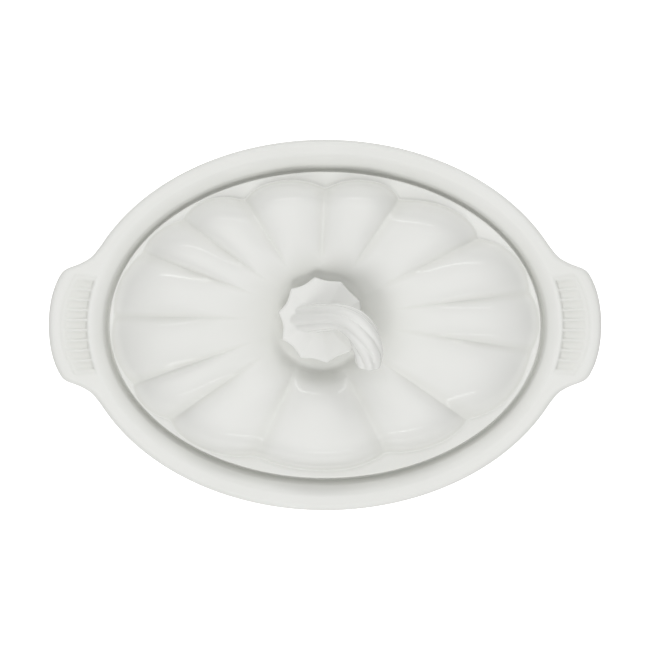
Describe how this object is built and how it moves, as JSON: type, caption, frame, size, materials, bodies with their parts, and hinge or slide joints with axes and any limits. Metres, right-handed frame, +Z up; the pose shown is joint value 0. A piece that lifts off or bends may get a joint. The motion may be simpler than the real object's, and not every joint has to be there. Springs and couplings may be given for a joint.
{
  "type": "covered casserole dish",
  "caption": "Oval covered casserole dish in white glazed stoneware, with ribbed end lugs and a lobed domed lid lifted by a curved stem knob.",
  "frame": {"origin": "centre of the footprint, on the surface the dish stands on", "axes": "+X along the long axis from lug to lug, +Y towards the back, +Z up; the stem knob hooks towards +X and then -Y"},
  "size_m": [0.34, 0.228, 0.1232],
  "materials": {
    "dish": "gloss",
    "lid": "gloss",
    "stem_knob": "gloss"
  },
  "bodies": {
    "dish": {"dish": "dish"},
    "lid": {"lid": "lid", "stem_knob": "stem_knob"}
  },
  "joints": [
    {"name": "lid_lift", "type": "slide", "parent": "dish", "child": "lid", "axis": [0, 0, 1], "range_m": [0, 0.14]}
  ]
}
